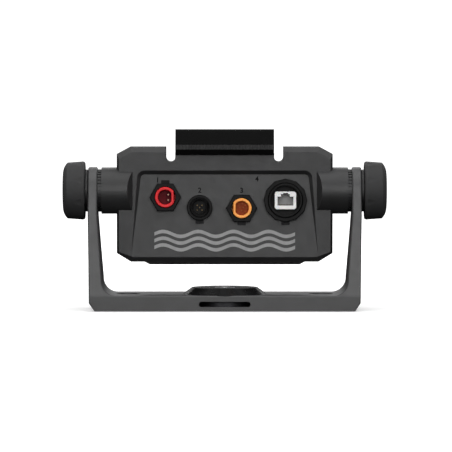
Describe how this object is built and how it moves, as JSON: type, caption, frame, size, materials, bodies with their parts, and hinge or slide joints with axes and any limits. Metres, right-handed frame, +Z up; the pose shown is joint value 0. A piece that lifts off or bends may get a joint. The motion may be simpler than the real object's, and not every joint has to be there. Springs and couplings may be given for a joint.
{
  "type": "chartplotter quick-release bail mount",
  "caption": "Tilting bail mount with a quick-release cradle: rear sockets, side clamp knobs, swivel base and a sprung latch for a docked marine display.",
  "frame": {"origin": "centre of the swivel base's underside, on the swivel axis", "axes": "+Z up; -Y towards the connector side; +Y towards the docked display; X along the tilt axis"},
  "size_m": [0.251, 0.0685, 0.1401],
  "materials": {
    "bail_metal": "fine moulded texture, glass-filled nylon",
    "base_metal": "black anodised",
    "rubber": "matt",
    "brass": "turned",
    "gold_contact": "gold flash",
    "steel": "stainless",
    "nylon": "moulded nylon",
    "knob_plastic": "soft-touch moulding",
    "shell_plastic": "fine moulded texture",
    "socket_plastic": "satin moulding",
    "latch_plastic": "satin black",
    "power_red": "satin moulding",
    "sonar_orange": "satin moulding",
    "jack_white": "satin moulding",
    "hub_plastic": "satin black moulding",
    "power_insert": "moulded insert",
    "sonar_insert": "moulded insert",
    "jack_grey": "moulded liner",
    "black_steel": "black oxide",
    "circuit_board": "solder resist",
    "ribbon": "polyimide film"
  },
  "bodies": {
    "base": {"swivel_base": "base_metal", "base_pad": "rubber", "base_insert": "brass", "swivel_bolt": "steel"},
    "bail": {"bail_bracket": "bail_metal", "hub_cover": "hub_plastic", "swivel_washer": "nylon", "left_arm_bush": "nylon", "right_arm_bush": "nylon"},
    "cradle": {"board_screws": "steel", "bus_insert": "socket_plastic", "bus_nut": "socket_plastic", "bus_pins": "brass", "bus_seal": "rubber", "bus_socket": "socket_plastic", "cradle_seal": "rubber", "cradle_shell": "shell_plastic", "dock_connector": "socket_plastic", "dock_contacts": "gold_contact", "dock_ribbon": "ribbon", "docking_plate": "shell_plastic", "junction_board": "circuit_board", "latch_pin": "steel", "latch_spring": "steel", "left_boss_insert": "brass", "left_tooth_disc": "nylon", "network_contacts": "gold_contact", "network_jack": "jack_white", "network_liner": "jack_grey", "network_nut": "socket_plastic", "network_seal": "rubber", "network_socket": "socket_plastic", "plate_screws": "steel", "power_insert": "power_insert", "power_nut": "socket_plastic", "power_pins": "steel", "power_seal": "rubber", "power_socket": "power_red", "right_boss_insert": "brass", "right_tooth_disc": "nylon", "sonar_insert": "sonar_insert", "sonar_nut": "socket_plastic", "sonar_pins": "gold_contact", "sonar_seal": "rubber", "sonar_socket": "sonar_orange", "tab_washers": "black_steel"},
    "latch": {"latch_lever": "latch_plastic", "latch_grip": "rubber"},
    "left_washer": {"left_collar": "nylon"},
    "right_washer": {"right_collar": "nylon"},
    "left_knob": {"left_knob": "knob_plastic", "left_knob_cap": "knob_plastic", "left_knob_core": "brass", "left_knob_stud": "steel"},
    "right_knob": {"right_knob": "knob_plastic", "right_knob_cap": "knob_plastic", "right_knob_core": "brass", "right_knob_stud": "steel"}
  },
  "joints": [
    {"name": "bail_swivel", "type": "hinge", "parent": "base", "child": "bail", "pos_m": [0, 0, 0], "axis": [0, 0, 1], "range_deg": [-90, 90]},
    {"name": "cradle_tilt", "type": "hinge", "parent": "bail", "child": "cradle", "pos_m": [0, 0, 0.0926], "axis": [1, 0, 0], "range_deg": [-60, 60]},
    {"name": "latch_tip", "type": "hinge", "parent": "cradle", "child": "latch", "pos_m": [0, 0.006, 0.117], "axis": [1, 0, 0], "range_deg": [0, 14], "stiffness_Nm_per_rad": 0.5},
    {"name": "left_clamp_travel", "type": "slide", "parent": "cradle", "child": "left_washer", "axis": [-1, 0, 0], "range_m": [0, 0.0036]},
    {"name": "left_knob_turn", "type": "hinge", "parent": "left_washer", "child": "left_knob", "pos_m": [-0.108, 0, 0.0926], "axis": [-1, 0, 0], "range_deg": [0, 1036.8]},
    {"name": "right_clamp_travel", "type": "slide", "parent": "cradle", "child": "right_washer", "axis": [1, 0, 0], "range_m": [0, 0.0036]},
    {"name": "right_knob_turn", "type": "hinge", "parent": "right_washer", "child": "right_knob", "pos_m": [0.108, 0, 0.0926], "axis": [1, 0, 0], "range_deg": [0, 1036.8]}
  ],
  "couplings": [
    {"joint": "left_clamp_travel", "follows": "left_knob_turn", "m_per_rad": 0.00019894},
    {"joint": "right_clamp_travel", "follows": "right_knob_turn", "m_per_rad": 0.00019894}
  ]
}
